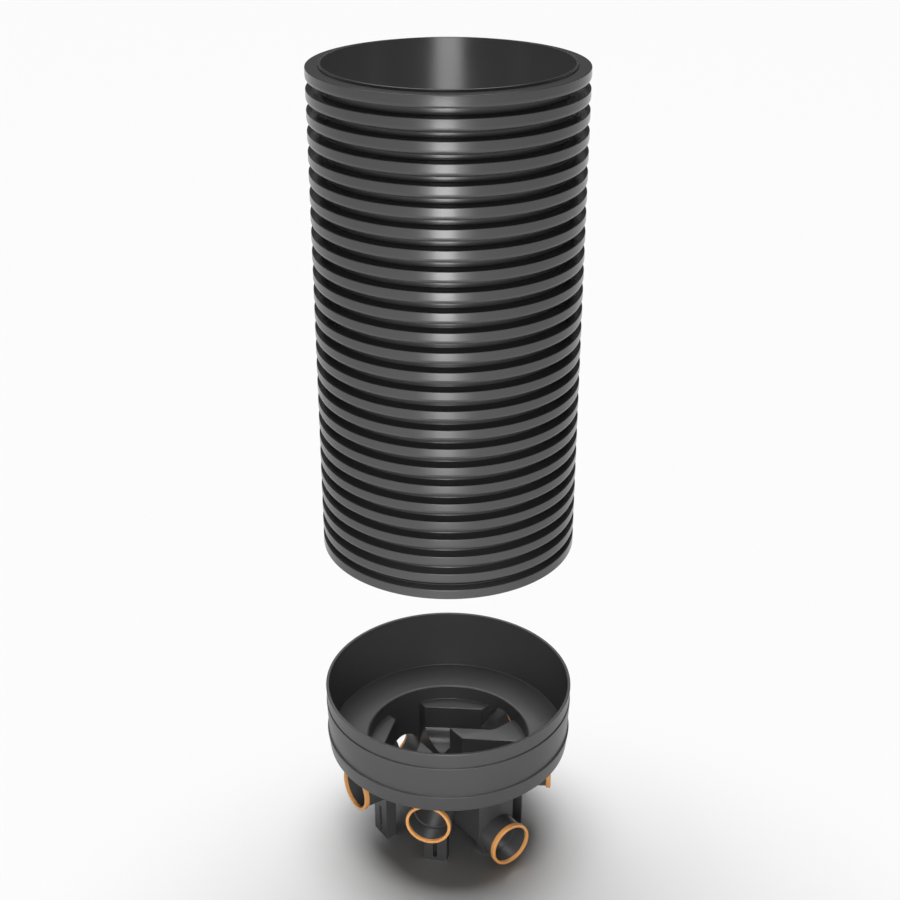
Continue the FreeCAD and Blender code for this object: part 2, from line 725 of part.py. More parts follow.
def export(parts):
    os.makedirs("parts", exist_ok=True)
    for part in parts:
        part.Shape.exportStep(f"parts/{part.Label}.step")
        box = part.Shape.BoundBox
        litres = part.Shape.Volume / 1e6
        print(f"{part.Label}: {litres:.3f} litres, z {box.ZMin:.1f} to {box.ZMax:.1f}")


parts = build()
check(parts)
export(parts)
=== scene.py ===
# %% [markdown]
# # A drain inspection chamber, ready to be put together
# The object is a moulded plastic base with five inlets and one outlet, and a corrugated shaft
# that hangs above it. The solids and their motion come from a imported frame. This notebook
# models the surfaces that the eye sees, one piece after another, and gives them their finish.
# Lengths are written in millimetres, as on a drawing, and turned into metres once.

# %% Load the frame
import math

import bpy
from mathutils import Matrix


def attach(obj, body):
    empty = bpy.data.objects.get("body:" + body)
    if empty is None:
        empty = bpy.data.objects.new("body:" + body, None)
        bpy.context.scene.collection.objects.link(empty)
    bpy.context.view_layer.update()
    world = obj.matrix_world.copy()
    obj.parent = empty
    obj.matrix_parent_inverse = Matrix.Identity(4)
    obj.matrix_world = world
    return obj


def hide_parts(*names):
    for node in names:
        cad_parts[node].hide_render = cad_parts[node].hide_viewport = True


MM = 0.001
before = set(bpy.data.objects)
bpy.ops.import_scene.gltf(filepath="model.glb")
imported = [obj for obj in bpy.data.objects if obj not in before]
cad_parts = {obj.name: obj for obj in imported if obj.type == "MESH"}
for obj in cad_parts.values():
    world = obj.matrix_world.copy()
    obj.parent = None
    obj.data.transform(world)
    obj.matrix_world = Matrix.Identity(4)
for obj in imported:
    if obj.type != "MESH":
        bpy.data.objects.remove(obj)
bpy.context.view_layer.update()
bpy.ops.object.select_all(action="DESELECT")
print("nodes in the frame:", len(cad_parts))

# %% [markdown]
# ## Drawing an outline
# Almost every piece here is turned about an axis or pulled out along a line, so each one starts
# as an outline. The corners could be handed to a mesh as a list of vertices and edges. Here they
# are drawn as by hand: a plane merged to its centre leaves one vertex, and the outline grows
# from it by extruding that vertex from corner to corner.

# %% A vertex and its trail
def single_vertex(name, x, z):
    """Add a piece that is one vertex, and stay in edit mode."""
    bpy.ops.object.select_all(action="DESELECT")
    bpy.ops.mesh.primitive_plane_add(size=MM)
    piece = bpy.context.object
    piece.name = name
    piece.data.name = name
    bpy.ops.object.mode_set(mode="EDIT")
    bpy.ops.mesh.select_mode(type="VERT")
    bpy.ops.mesh.select_all(action="SELECT")
    bpy.ops.mesh.merge(type="CENTER")
    bpy.ops.transform.translate(value=(x * MM, 0, z * MM))
    return piece


def draw_on(start, points):
    """Extrude the selected vertex from corner to corner."""
    x, z = start
    for point in points:
        step = ((point[0] - x) * MM, 0, (point[1] - z) * MM)
        bpy.ops.mesh.extrude_vertices_move(TRANSFORM_OT_translate={"value": step})
        x, z = point[:2]


trial = single_vertex("trial", 10, 0)
draw_on((10, 0), [(30, 0), (30, 20)])
bpy.ops.object.mode_set(mode="OBJECT")
print("a trail with one corner has", len(trial.data.vertices), "vertices")
bpy.data.objects.remove(trial)

# %% [markdown]
# ## Soft corners
# No moulded corner is sharp. A Bevel modifier on the finished piece could round them, but by one
# radius only, and it lays a strip of faces along every edge. A vertex bevel on the bare outline
# gives each corner its own rounding before there are any faces. A large one gets more steps
# than a small one, so that all of them look equally round.

# %% Rounded corners
ROUNDING_STEPS = ((30, 16), (7, 5), (4, 4), (1.2, 3), (0, 2))  # least rounding, steps
SAME_PLACE = 0.01 * MM
DOUBLES = 0.002 * MM


def select_by_place(piece, test):
    """Select the vertices whose place passes a test."""
    bpy.ops.mesh.select_all(action="DESELECT")
    bpy.ops.object.mode_set(mode="OBJECT")
    for vertex in piece.data.vertices:
        vertex.select = test(vertex.co)
    bpy.ops.object.mode_set(mode="EDIT")


def select_corner(piece, x, z):
    """Select the vertices at one corner of an outline."""
    def is_there(place):
        return abs(place.x - x * MM) < SAME_PLACE and abs(place.z - z * MM) < SAME_PLACE

    select_by_place(piece, is_there)


def round_corners(piece, points):
    """Round each corner that is given as (x, z, rounding)."""
    for x, z, rounding in [point for point in points if len(point) == 3]:
        steps = next(count for least, count in ROUNDING_STEPS if rounding >= least)
        select_corner(piece, x, z)
        bpy.ops.mesh.bevel(
            offset=rounding * MM, offset_type="OFFSET", segments=steps, affect="VERTICES"
        )


def merge_doubles():
    """Merge the vertices that lie in one place."""
    bpy.ops.mesh.select_all(action="SELECT")
    bpy.ops.mesh.remove_doubles(threshold=DOUBLES)


def draw_outline(name, points, closed=True):
    """Draw an outline in the XZ plane, with its corners rounded, and stay in edit mode."""
    piece = single_vertex(name, points[0][0], points[0][1])
    draw_on(points[0][:2], points[1:] + (points[:1] if closed else []))
    merge_doubles()
    round_corners(piece, points)
    merge_doubles()
    return piece


soft_square = [(10, 0, 5), (30, 0, 5), (30, 20, 5), (10, 20, 5)]
trial = draw_outline("trial", soft_square)
bpy.ops.object.mode_set(mode="OBJECT")
print("a square with four soft corners has", len(trial.data.vertices), "vertices")
bpy.data.objects.remove(trial)

# %% [markdown]
# ## Turning
# The shaft, the cup, the sockets and their caps are round about an axis. A Screw modifier could
# turn their outlines. The Spin operator does it at once, and it closes a full turn by itself.
# Every piece ends the same way: doubles merged, faces turned outwards, gentle edges smoothed.
# A closed piece has exactly two faces at every edge, so the report counts the edges that don't.

# %% Turned pieces
SMOOTH_BELOW = math.radians(35)


def finish_mesh(piece):
    """Merge, turn the faces outwards, leave edit mode and smooth the gentle edges."""
    merge_doubles()
    bpy.ops.mesh.normals_make_consistent(inside=False)
    bpy.ops.object.mode_set(mode="OBJECT")
    bpy.ops.object.shade_smooth_by_angle(angle=SMOOTH_BELOW)
    return piece


def spin_round(piece, steps):
    """Turn the outline once round the Z axis."""
    bpy.ops.mesh.select_all(action="SELECT")
    bpy.ops.mesh.spin(steps=steps, angle=2 * math.pi, center=(0, 0, 0), axis=(0, 0, 1))
    return finish_mesh(piece)


def turned(name, points, steps=96, closed=True):
    """Draw an outline and turn it."""
    return spin_round(draw_outline(name, points, closed), steps)


def report(piece):
    """Print what was made: its faces, and whether any edge is open."""
    mesh = piece.data
    uses = [0] * len(mesh.edges)
    for loop in mesh.loops:
        uses[loop.edge_index] += 1
    open_edges = sum(count != 2 for count in uses)
    triangles = sum(len(face.vertices) - 2 for face in mesh.polygons)
    print(f"{piece.name}: {triangles} triangles, {open_edges} open edges")
    return piece


trial = report(turned("trial", soft_square))
bpy.data.objects.remove(trial)

# %% [markdown]
# ## The shaft
# The riser is a twin-wall pipe: a smooth liner inside and a corrugated wall outside, cut to
# length through a crest. Its ridges could be ringed one by one round a plain pipe, but then they
# would only touch it. Here the whole wall is one outline. Twenty-four ridges are alike, so one
# is drawn from mid-valley to mid-valley, and an Array modifier repeats the bare line.

# %% The alike ridges
BORE = 302  # inside radius of the liner
LINER = 305  # outside radius of the liner
VALLEY = 309  # radius in a valley
CREST = 340  # radius on a crest
BROW = CREST - 0.4  # radius of a ridge's round foot, just behind its face
CREST_LENGTH = 31
PITCH = 50
ALIKE = 24
SHAFT_FOOT = 961  # heights of the shaft's two ends, at rest
SHAFT_TOP = 2241
LINER_LIP = 6  # what the liner stands proud of the topmost crest
FIRST_CREST = SHAFT_TOP - LINER_LIP - CREST_LENGTH - ALIKE * PITCH


def ridge(bottom):
    """The corners of one ridge above a height: a round foot, a flat face, a crisp head."""
    return [
        (VALLEY, bottom, 3),
        (BROW, bottom + 1, 8),
        (BROW, bottom + 9.6),
        (CREST, bottom + 10.2, 0.3),
        (CREST, bottom + CREST_LENGTH - 1, 1.6),
        (VALLEY, bottom + CREST_LENGTH, 3),
    ]


first_valley = FIRST_CREST - 8
one_ridge = [(VALLEY, first_valley), *ridge(FIRST_CREST), (VALLEY, first_valley + PITCH)]
shaft_wall = draw_outline("shaft_wall", one_ridge, closed=False)
bpy.ops.object.mode_set(mode="OBJECT")
repeat = shaft_wall.modifiers.new("ridges", "ARRAY")
repeat.count = ALIKE
repeat.use_relative_offset = False
repeat.use_constant_offset = True
repeat.constant_offset_displace = (0, 0, PITCH * MM)
repeat.use_merge_vertices = True
bpy.ops.object.modifier_apply(modifier=repeat.name)
print("points in", ALIKE, "ridges:", len(shaft_wall.data.vertices))

# %% [markdown]
# ## The shaft's two ends
# The saw leaves the top crest flat, with a shallow ring where the two walls part, and the liner
# stands a little proud of it. Below, the cut goes through a crest and shows its thin wall. Both
# ends are drawn on to the ridges by hand, and one spin then makes the whole shaft.

# %% The ends, and the spin
SHAFT_STEPS = 144
last_valley = first_valley + ALIKE * PITCH
top_crest = FIRST_CREST + ALIKE * PITCH
top_face = top_crest + CREST_LENGTH
ends = [
    *ridge(top_crest)[:4],
    (CREST, top_face - 0.5, 1.6),
    (BORE + 8, top_face, 0.8),
    (BORE + 7.4, top_face - 1.5),
    (BORE + 6.6, top_face - 1.5),
    (BORE + 5.5, SHAFT_TOP, 2),
    (BORE, SHAFT_TOP, 1.2),
    (BORE, SHAFT_FOOT, 1),
    (LINER, SHAFT_FOOT, 1),
    (LINER, SHAFT_FOOT + 25, 2),
    (CREST - 2, SHAFT_FOOT + 24, 6),
    (CREST - 2, SHAFT_FOOT, 0.6),
    (CREST, SHAFT_FOOT, 0.8),
    (CREST, SHAFT_FOOT + 26, 1.8),
    (VALLEY, SHAFT_FOOT + 27, 3),
]
bpy.ops.object.mode_set(mode="EDIT")
select_corner(shaft_wall, VALLEY, last_valley)
draw_on((VALLEY, last_valley), ends + [(VALLEY, first_valley)])
merge_doubles()
round_corners(shaft_wall, ends)
report(spin_round(shaft_wall, SHAFT_STEPS))

# %% [markdown]
# ## The shaft's seal
# A rubber ring lies in the lowest valley and grips the cup's wall when the shaft goes in. It
# could be a torus, but a real one has flat flanks and a bead round its middle. At rest it lies
# back in the valley, so from outside there is only a dark groove like the others.

# %% Shaft seal
seal_bottom = FIRST_CREST - 15.8
seal_inside = VALLEY + 0.2
seal_outside = CREST - 18
seal_bead = CREST - 14
seal_outline = [
    (seal_inside, seal_bottom, 1),
    (seal_outside, seal_bottom + 1, 3),
    (seal_outside, seal_bottom + 4, 1),
    (seal_bead, seal_bottom + 6, 0.8),
    (seal_bead, seal_bottom + 8, 0.8),
    (seal_outside, seal_bottom + 10, 1),
    (seal_outside, seal_bottom + 14.6, 3),
    (seal_inside, seal_bottom + 15.6, 1),
]
shaft_ring = report(turned("shaft_ring_seal", seal_outline, SHAFT_STEPS))

# %% [markdown]
# ## The cup
# The cup is the wide collar of the base. Outside it shows three bands, each a little narrower
# at its lower edge, parted by two narrow grooves. Inside, the wall runs down to a flat seat, and
# the floor dips to the edge of the bowl. The grooves could be cut afterwards, but they are as
# round as the rest, so they belong to the same turned outline.

# %% Cup wall
BASE_STEPS = 192
WALL = 7  # thickness of the moulding
BOWL = 234  # inside radius of the bowl
BENCH = 240  # height of the benches in the bowl
BENCH_RIM = BENCH + 10  # height where the bench's piece meets the cup's
RIM = 480  # height of the cup's rim
SEAT = 293  # height of the flat seat
SEAT_EDGE = 297.6  # radius where the seat ends and the floor dips
BAND = 352  # radius of a band at its widest
GROOVE = 347  # radius of the grooves
GROOVE_WIDTH = 4
LOW_GROOVE = 336  # heights of the grooves' lower edges
HIGH_GROOVE = 432
cup_outline = [
    (BOWL, BENCH_RIM),
    (BOWL + WALL, BENCH_RIM),
    (BOWL + WALL, SEAT - 16, 3),
    (SEAT_EDGE, SEAT - 10, 6),
    (BAND - 6.8, SEAT - 10, 5),
    (BAND, LOW_GROOVE, 1.5),
    (GROOVE, LOW_GROOVE, 0.8),
    (GROOVE, LOW_GROOVE + GROOVE_WIDTH, 0.8),
    (GROOVE + 0.4, LOW_GROOVE + GROOVE_WIDTH, 0.3),
    (BAND, HIGH_GROOVE, 1.5),
    (GROOVE, HIGH_GROOVE, 0.8),
    (GROOVE, HIGH_GROOVE + GROOVE_WIDTH, 0.8),
    (GROOVE + 2.9, HIGH_GROOVE + GROOVE_WIDTH, 1),
    (BAND, RIM, 2),
    (BAND - 8.5, RIM, 1.5),
    (BAND - 10.4, SEAT, 2.4),
    (SEAT_EDGE, SEAT, 30),
    (BOWL + 3, SEAT - 6, 3),
    (BOWL, SEAT - 9, 1.5),
]
cup_wall = report(turned("cup_wall", cup_outline, BASE_STEPS))

# %% [markdown]
# ## The lines of the channels
# Water runs through the bowl in a deep main channel, and four inlets join it. Each pipe lies on
# a line: its direction in degrees from +X, its distance across from the chamber's axis, and the
# level of its middle. The two side channels bend: they come in on one line, drop, and run out
# into the main channel on another. The bend is where those two lines cross.

# %% Lines
MAIN = -54  # direction of the main inlet
MAIN_WAY = 54  # inside radius of the main inlet and the outlet
BRANCH_WAY = 50  # inside radius of the four branch inlets
MAIN_LEVEL = 81
BRANCH_LEVEL = 198
SIDE_LEVEL = 164  # level of a side channel after its drop
OUTFALL_TURN = 50  # from the main inlet's direction to that of a side channel's way out
OUTFALL_ACROSS = 135.6
OUTFALL_END = -91  # where it ends, well inside the main channel
BEND_ON_OUTFALL = 108.76  # where the bend lies along the way out, and along the way in
BEND_ON_INLET = 171.97
SOCKETS = {
    "main_inlet": (MAIN, 0, MAIN_LEVEL),
    "outlet": (MAIN + 180, 0, MAIN_LEVEL),
    "near_left_inlet": (MAIN - 49, 12, BRANCH_LEVEL),
    "near_right_inlet": (MAIN + 49, -12, BRANCH_LEVEL),
    "side_left_inlet": (MAIN - 93, -25, BRANCH_LEVEL),
    "side_right_inlet": (MAIN + 93, 25, BRANCH_LEVEL),
}
SIDES = {"left": -1, "right": 1}


def side_lines(side):
    """The line that a side channel runs out on, and the line that it comes in on."""
    sign = SIDES[side]
    azimuth, across, _ = SOCKETS[f"side_{side}_inlet"]
    way_out = (MAIN + OUTFALL_TURN * sign, OUTFALL_ACROSS * sign, SIDE_LEVEL)
    way_in = (azimuth, across, SIDE_LEVEL)
    return way_out, way_in


for side in SIDES:
    print(f"the {side} side channel runs out and comes in on", side_lines(side))

# %% [markdown]
# ## Sections
# A channel is round at the bottom, like the pipes it joins, and upright above. Its edge at the
# bench is soft. The same section is used twice: as it is for the water's way, and thicker for
# the moulded wall round it. Every section is the same on both sides of its line, so only its
# right side is written down.

# %% Channel sections
def both_sides(right):
    """A closed section from its right side, whose first point lies at the bottom."""
    left = [(-x, z, *rounding) for x, z, *rounding in right]
    return [left[0], *right, *reversed(left[1:])]


def way_section(half, level):
    """Where the water runs, with a flare at the top that softens the bench's edge.

    The side channels have a sloping break where the round bottom begins.
    """
    soft, lift, slope = 3.5, 0.3, 6.5
    bottom = [(half, level - half, half)]
    if level == SIDE_LEVEL:
        bottom = [
            (half * 0.45, level - half, half * 0.68),
            (half - slope, level - slope, 6),
            (half, level),
        ]
    top = BENCH + lift
    flare = [(half, top, soft), (half + soft, top), (half + soft, BENCH_RIM)]
    return both_sides(bottom + flare)


def wall_section(half, level):
    """The moulded wall round a way, up into the thickness of the bench."""
    half += WALL
    return both_sides([(half, level - half, half), (half, BENCH - WALL + 3)])


print("corners of a main channel's section:", len(way_section(MAIN_WAY, MAIN_LEVEL)))

# %% [markdown]
# ## Bars
# A straight channel is its section pulled out along its line. The outline's face is extruded,
# so the bar is closed, which a Solidify modifier wouldn't promise. A bar is made along +Y, where
# its lengths can be read as distances from the chamber's axis, and then laid on its line.

# %% Pulled-out pieces
def pulled_out(name, points, start, end):
    """Fill an outline and pull it out along +Y, from one distance to another."""
    piece = draw_outline(name, points)
    bpy.ops.mesh.select_all(action="SELECT")
    bpy.ops.mesh.edge_face_add()
    bpy.ops.transform.translate(value=(0, start * MM, 0))
    length = (end - start) * MM
    bpy.ops.mesh.extrude_region_move(TRANSFORM_OT_translate={"value": (0, length, 0)})
    return finish_mesh(piece)


def pick(piece):
    """Make a piece the only selected one, and the active one."""
    bpy.ops.object.select_all(action="DESELECT")
    piece.select_set(True)
    bpy.context.view_layer.objects.active = piece


def apply_place(piece):
    """Move a piece's place from the object into its mesh."""
    pick(piece)
    bpy.ops.object.transform_apply(location=True, rotation=True, scale=True)
    return piece


def along_line(piece, line):
    """Lay a piece that points along +Y onto a line: (azimuth, distance across it, level)."""
    azimuth, across, _ = line
    turn = math.radians(azimuth)
    piece.location = (-across * MM * math.sin(turn), across * MM * math.cos(turn), 0)
    piece.rotation_euler = (0, 0, turn - math.pi / 2)
    return apply_place(piece)


def run(name, section, half, line, start, end, climb=0):
    """One straight channel as a solid bar. A climb lifts the bottom of its far end."""
    level = line[2]
    piece = pulled_out(name, section(half, level), start, end)
    if climb:
        bpy.ops.object.mode_set(mode="EDIT")
        select_by_place(piece, lambda co: co.y > (end - 1) * MM and co.z < (level + 20) * MM)
        bpy.ops.transform.translate(value=(0, 0, climb * MM))
        finish_mesh(piece)
    return along_line(piece, line)


trial = report(run("trial", way_section, BRANCH_WAY, SOCKETS["near_left_inlet"], 0, 260))
bpy.data.objects.remove(trial)

# %% [markdown]
# ## Joining closed pieces
# Channels that meet have to become one solid. Their faces could be cut and stitched by hand, but
# a Boolean modifier does it at any angle. Of its solvers, Manifold is the quick one that makes
# closed meshes out of closed meshes. A plain round post is the tool that trims to the bowl.

# %% Booleans
POST_TOP = 300


def combine(piece, operation, tool, keep_tool=False):
    """Add, take away or keep what is common with another closed piece."""
    pick(piece)
    boolean = piece.modifiers.new("combine", "BOOLEAN")
    boolean.operation = operation
    boolean.solver = "MANIFOLD"
    boolean.object = tool
    bpy.ops.object.modifier_apply(modifier=boolean.name)
    if not keep_tool:
        bpy.data.objects.remove(tool)
    return piece


def post(name, radius, bottom=0):
    """A round post about the chamber's axis."""
    outline = [(0, bottom), (radius, bottom), (radius, POST_TOP), (0, POST_TOP)]
    return turned(name, outline, BASE_STEPS, closed=False)


trial = report(combine(post("trial", BOWL + WALL), "DIFFERENCE", post("inside", BOWL, -1)))
bpy.data.objects.remove(trial)

# %% [markdown]
# ## The network
# The main channel, the two near channels and the two bent side channels are joined in one solid.
# At a bend, two square-ended bars would leave a notch. Half of the section, turned about an
# upright axis, fills it with a round corner. The network is made twice, once as the water's way
# and once as the wall round it, and each is trimmed to its side of the bowl's wall.

# %% All the channels in one solid
BEYOND_BOWL = 260
CORNER_STEPS = 64


def round_corner(name, section, half, line, along):
    """The corner of a bent channel: half of its section, turned about an upright axis."""
    points = [point for point in section(half, line[2]) if point[0] > 0]
    bottom, top = points[0][1], points[-1][1]
    piece = turned(name, [(0, bottom), *points, (0, top)], CORNER_STEPS, closed=False)
    piece.location = (0, along * MM, 0)
    apply_place(piece)
    return along_line(piece, line)


def all_channels(name, section):
    """Every channel in one solid."""
    solid = run(name, section, MAIN_WAY, SOCKETS["main_inlet"], -BEYOND_BOWL, BEYOND_BOWL)
    climb = BRANCH_LEVEL - SIDE_LEVEL
    for side in SIDES:
        near = SOCKETS[f"near_{side}_inlet"]
        way_out, way_in = side_lines(side)
        bars = [
            run(side, section, BRANCH_WAY, near, 0, BEYOND_BOWL),
            run(side, section, BRANCH_WAY, way_out, OUTFALL_END, BEND_ON_OUTFALL),
            round_corner(side, section, BRANCH_WAY, way_in, BEND_ON_INLET),
            run(side, section, BRANCH_WAY, way_in, BEND_ON_INLET, BOWL + WALL, climb),
        ]
        for bar in bars:
            combine(solid, "UNION", bar)
    return solid


channel_ways = all_channels("channel_ways", way_section)
report(combine(channel_ways, "INTERSECT", post("bowl_inside", BOWL)))
channel_walls = all_channels("channel_walls", wall_section)
report(combine(channel_walls, "INTERSECT", post("bowl_outside", BOWL + WALL)))

# %% [markdown]
# ## The bench
# The bench is the flat floor between the channels, where a worker can stand. It could be
# patched together from flat faces round the channels' edges. It is simpler to turn a shallow
# dish, add the channels' walls below it, and take the water's way out of both. The pipes' round
# bores then open the channels outwards.

# %% Bench with its channels
PIPE_WAY_START = 205  # from inside the bowl to inside the sockets
PIPE_WAY_END = 290
bench_outline = [
    (0, BENCH - WALL),
    (BOWL + WALL, BENCH - WALL, 2),
    (BOWL + WALL, BENCH_RIM),
    (BOWL, BENCH_RIM),
    (BOWL, BENCH, 2.5),
    (0, BENCH),
]


def pipe_way(name, line):
    """The round way between a pipe and its channel; the two main ones are wider."""
    level = line[2]
    radius = MAIN_WAY if level == MAIN_LEVEL else BRANCH_WAY
    circle = both_sides([(radius, level - radius, radius), (radius, level + radius, radius)])
    return along_line(pulled_out(name, circle, PIPE_WAY_START, PIPE_WAY_END), line)


bench = turned("bench_and_channels", bench_outline, BASE_STEPS, closed=False)
combine(bench, "UNION", channel_walls, keep_tool=True)
combine(bench, "DIFFERENCE", channel_ways)
for socket_name, socket_line in SOCKETS.items():
    combine(bench, "DIFFERENCE", pipe_way(socket_name, socket_line))
report(bench)

# %% [markdown]
# ## Feet
# Under each socket stands a foot of U section, so that the base stands level on the ground. The
# four below the branch inlets have an upright slot in their face. A cube with a smaller cube
# taken out would do, but a pulled-out section, stood upright, has soft corners from the start.
# The channel walls trim its top.

# %% Feet
FOOT_FACE = 222  # from the chamber's axis to a foot's outer face
FOOT_HALF = 34.5
FOOT_DEPTH = 33
FOOT_WALL = 6
SLOT_HALF = 6
SLOT_BOTTOM = 10
SLOT_TOP = 100
foot_section = both_sides([
    (FOOT_HALF, 0, 2),
    (FOOT_HALF, FOOT_DEPTH, 1.5),
    (FOOT_HALF - FOOT_WALL, FOOT_DEPTH, 1.5),
    (FOOT_HALF - FOOT_WALL, FOOT_WALL, 2),
])
slot_section = both_sides([
    (SLOT_HALF, SLOT_BOTTOM, SLOT_HALF - 0.1),
    (SLOT_HALF, SLOT_TOP, SLOT_HALF - 0.1),
])
feet = {}
for socket_name, socket_line in SOCKETS.items():
    foot = pulled_out(socket_name + "_stand", foot_section, 0, socket_line[2])
    foot.rotation_euler = (math.pi / 2, 0, 0)
    apply_place(foot)
    foot.location = (0, FOOT_FACE * MM, 0)
    apply_place(foot)
    if socket_line[2] == BRANCH_LEVEL:
        slot = pulled_out("slot", slot_section, FOOT_FACE - 22, FOOT_FACE + 8)
        combine(foot, "DIFFERENCE", slot)
    along_line(foot, socket_line)
    combine(foot, "DIFFERENCE", channel_walls, keep_tool=True)
    feet[socket_name] = report(foot)
bpy.data.objects.remove(channel_walls)

# %% [markdown]
# ## Sockets, snap caps and ring seals
# A pipe end goes into each socket, up to a stop. A snap cap clips over the collar of each socket
# and holds a rubber ring whose lip grips the pipe. Six of each could be modelled in place. They
# are alike, but for the width of the stop, so one of each kind is turned standing up, with its
# mouth at height zero, where its outline is easy to read.

# %% Patterns
RING_STEPS = 128
BARREL = 59.5  # outside radius of a socket's barrel
COLLAR = 62  # outside radius of its collar
SOCKET_WAY = 55.5  # inside radius that takes the pipe
POCKET = 60  # inside radius at the mouth, for the ring seal
BARREL_END = -85  # heights, with the mouth at zero
STOP = -52
POCKET_END = -7
COLLAR_END = -8
CAP = 64.4  # outside radius of a cap
CAP_FRONT = 3.2
CAP_CLIP = -8.2
CAP_END = -10.2


def socket_outline(way):
    """A socket's wall, from its stop out to the mouth and back along the outside."""
    return [
        (way, BARREL_END),
        (way, STOP, 0.8),
        (SOCKET_WAY, STOP, 0.8),
        (SOCKET_WAY, POCKET_END, 0.6),
        (POCKET, POCKET_END, 0.6),
        (POCKET, 0, 0.6),
        (COLLAR, 0, 0.8),
        (COLLAR, COLLAR_END, 0.8),
        (BARREL, COLLAR_END, 1.2),
        (BARREL, BARREL_END),
    ]


cap_outline = [
    (SOCKET_WAY + 0.2, -5.8, 0.4),
    (SOCKET_WAY + 1.5, -5.8, 0.4),
    (SOCKET_WAY + 1.5, 0.2),
    (COLLAR + 0.2, 0.2, 0.3),
    (COLLAR + 0.2, CAP_CLIP, 0.4),
    (BARREL + 1.1, CAP_CLIP, 0.4),
    (BARREL + 1.1, CAP_END, 0.4),
    (CAP, CAP_END, 1.2),
    (CAP, CAP_FRONT, 2.2),
    (SOCKET_WAY + 0.2, CAP_FRONT, 1.6),
]
ring_outline = [
    (SOCKET_WAY + 1.8, -6.8, 0.4),
    (POCKET - 0.2, -6.8, 0.4),
    (POCKET - 0.2, -0.2, 0.4),
    (SOCKET_WAY + 1.8, -0.2, 0.3),
    (SOCKET_WAY + 1.8, -6, 0.2),
    (SOCKET_WAY + 0.1, -6.3, 0.2),
]
main_pattern = report(turned("main_socket_pattern", socket_outline(MAIN_WAY)))
branch_pattern = report(turned("branch_socket_pattern", socket_outline(BRANCH_WAY)))
cap_pattern = report(turned("cap_pattern", cap_outline, RING_STEPS))
ring_pattern = report(turned("ring_pattern", ring_outline, RING_STEPS))

# %% [markdown]
# ## Six of each
# The patterns are copied onto the lines. Copies could share one mesh, but here each gets its
# own, because its place goes into the mesh, and because the bowl trims the back of each socket.

# %% Place the sockets
MOUTH = 302.5  # from the chamber's axis to a socket's mouth


def copied(piece, name):
    """A copy with a mesh of its own."""
    pick(piece)
    bpy.ops.object.duplicate()
    copy = bpy.context.object
    copy.name = name
    copy.data.name = name
    return copy


def on_line(pattern, name, line):
    """Copy an upright pattern and lay it on a line, its mouth at the socket's mouth."""
    piece = copied(pattern, name)
    piece.rotation_euler = (-math.pi / 2, 0, 0)
    apply_place(piece)
    piece.location = (0, MOUTH * MM, line[2] * MM)
    apply_place(piece)
    return along_line(piece, line)


bowl_cut = post("bowl_cut", BOWL + WALL - 2, -10)
sockets, caps, rings = {}, {}, {}
for socket_name, socket_line in SOCKETS.items():
    pattern = main_pattern if socket_line[2] == MAIN_LEVEL else branch_pattern
    barrel = on_line(pattern, socket_name + "_barrel", socket_line)
    combine(barrel, "DIFFERENCE", bowl_cut, keep_tool=True)
    sockets[socket_name] = report(barrel)
    caps[socket_name] = on_line(cap_pattern, socket_name + "_snap_cap", socket_line)
    rings[socket_name] = on_line(ring_pattern, socket_name + "_lip_ring", socket_line)
for tool in (main_pattern, branch_pattern, cap_pattern, ring_pattern, bowl_cut):
    bpy.data.objects.remove(tool)

# %% [markdown]
# ## Finishes
# The object is polypropylene, dyed through, with an even satin finish. The shaft comes smooth
# out of its mould blocks, and the base has the finer, duller grain of a moulding tool. A picture
# of plastic could be wrapped round them, but it would stretch and repeat. Noise in object
# coordinates doesn't, and it stays in place on the piece when the shaft moves.

# %% Plastic and rubber
def noise(nodes, links, place, scale, detail):
    """A cloud of values between 0 and 1, fixed to the piece."""
    clouds = nodes.new("ShaderNodeTexNoise")
    clouds.inputs["Scale"].default_value = scale
    clouds.inputs["Detail"].default_value = detail
    links.new(place.outputs["Object"], clouds.inputs["Vector"])
    return clouds.outputs["Fac"]


def plastic(name, colour, roughness, grain, grain_depth, mottle):
    """A dyed plastic: slow colour changes, a roughness that wanders, and a fine grain."""
    material = bpy.data.materials.new(name)
    material.use_nodes = True
    nodes = material.node_tree.nodes
    links = material.node_tree.links
    shader = nodes["Principled BSDF"]
    shader.inputs["IOR"].default_value = 1.49
    shader.inputs["Specular IOR Level"].default_value = 0.37
    place = nodes.new("ShaderNodeTexCoord")
    clouds = noise(nodes, links, place, scale=6, detail=4)

    dye = nodes.new("ShaderNodeMix")
    dye.data_type = "RGBA"
    dye.inputs["A"].default_value = (*[value * (1 - mottle) for value in colour], 1)
    dye.inputs["B"].default_value = (*[value * (1 + mottle) for value in colour], 1)
    links.new(clouds, dye.inputs["Factor"])
    links.new(dye.outputs["Result"], shader.inputs["Base Color"])

    gloss = nodes.new("ShaderNodeMapRange")
    gloss.inputs["From Min"].default_value = 0.3
    gloss.inputs["From Max"].default_value = 0.7
    gloss.inputs["To Min"].default_value = roughness - 0.03
    gloss.inputs["To Max"].default_value = roughness + 0.03
    links.new(clouds, gloss.inputs["Value"])
    links.new(gloss.outputs["Result"], shader.inputs["Roughness"])

    grains = noise(nodes, links, place, scale=grain, detail=3)
    bump = nodes.new("ShaderNodeBump")
    bump.inputs["Strength"].default_value = 0.35
    bump.inputs["Distance"].default_value = grain_depth
    links.new(grains, bump.inputs["Height"])
    links.new(bump.outputs["Normal"], shader.inputs["Normal"])
    return material


